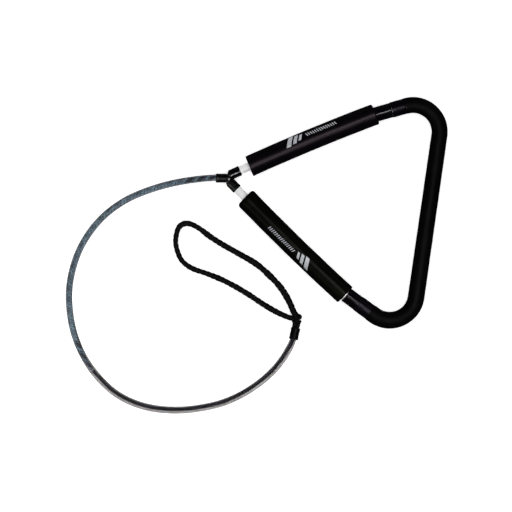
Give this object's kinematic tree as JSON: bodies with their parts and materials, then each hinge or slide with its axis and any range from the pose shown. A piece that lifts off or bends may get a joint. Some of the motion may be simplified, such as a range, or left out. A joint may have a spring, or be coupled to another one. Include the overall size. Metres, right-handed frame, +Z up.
{
  "type": "tow rope handle",
  "caption": "Triangular tow handle: rubber-gripped bent bar, two foam floats, Y connector, clear-hosed rope tether ending in a knotted braided tie loop.",
  "frame": {"origin": "middle of the handle's outline from bar to Y connector (tether left out), on the surface it lies on", "axes": "+Z up from the surface, +Y along the bar, +X from the Y connector towards the bar"},
  "size_m": [0.5889, 0.577, 0.0354],
  "materials": {
    "grip_rubber": "matte",
    "grip_band_shrink": "satin",
    "tube_cover_gloss": "gloss",
    "float_foam": "satin",
    "lead_hose_white": "satin",
    "y_moulding": "gloss",
    "hose_clear": "gloss",
    "rope_grey": "matte",
    "rope_navy": "matte",
    "rope_black": "matte",
    "shrink_black": "satin",
    "tube_aluminium": "satin",
    "bush_nylon": "matte"
  },
  "bodies": {
    "handle": {"handle_core_tube": "tube_aluminium", "grip": "grip_rubber", "upper_grip_band": "grip_band_shrink", "lower_grip_band": "grip_band_shrink", "upper_tube_cover": "tube_cover_gloss", "lower_tube_cover": "tube_cover_gloss", "upper_end_bush": "bush_nylon", "lower_end_bush": "bush_nylon", "upper_lead_tube": "lead_hose_white", "lower_lead_tube": "lead_hose_white", "bridle_rope": "rope_grey", "tether_jacket": "hose_clear", "tether_rope": "rope_grey", "tether_tail_rope": "rope_navy", "tether_end_sleeve": "shrink_black", "loop_knot": "rope_black"},
    "upper_float": {"upper_float": "float_foam"},
    "lower_float": {"lower_float": "float_foam"},
    "yoke": {"y_connector": "y_moulding", "rope_splice": "rope_black"},
    "loop": {"tie_loop": "rope_black"}
  },
  "joints": [
    {"name": "upper_float_spin", "type": "hinge", "parent": "handle", "child": "upper_float", "pos_m": [-0.03525, 0.09694, 0.0177], "axis": [0.8602, 0.5099, 0], "continuous": true},
    {"name": "lower_float_spin", "type": "hinge", "parent": "handle", "child": "lower_float", "pos_m": [-0.03845, -0.07956, 0.0177], "axis": [0.8088, -0.588, 0], "continuous": true},
    {"name": "yoke_flex", "type": "hinge", "parent": "handle", "child": "yoke", "pos_m": [-0.13897, 0.01448, 0.0177], "axis": [0, 1, 0], "range_deg": [-5, 50], "stiffness_Nm_per_rad": 0.5, "deforming": ["upper_lead_tube", "lower_lead_tube", "bridle_rope", "tether_jacket", "tether_rope"]},
    {"name": "loop_swing", "type": "hinge", "parent": "handle", "child": "loop", "pos_m": [-0.0168, -0.20001, 0.0079], "axis": [0.5349, 0.8449, 0], "range_deg": [0, 90]}
  ]
}
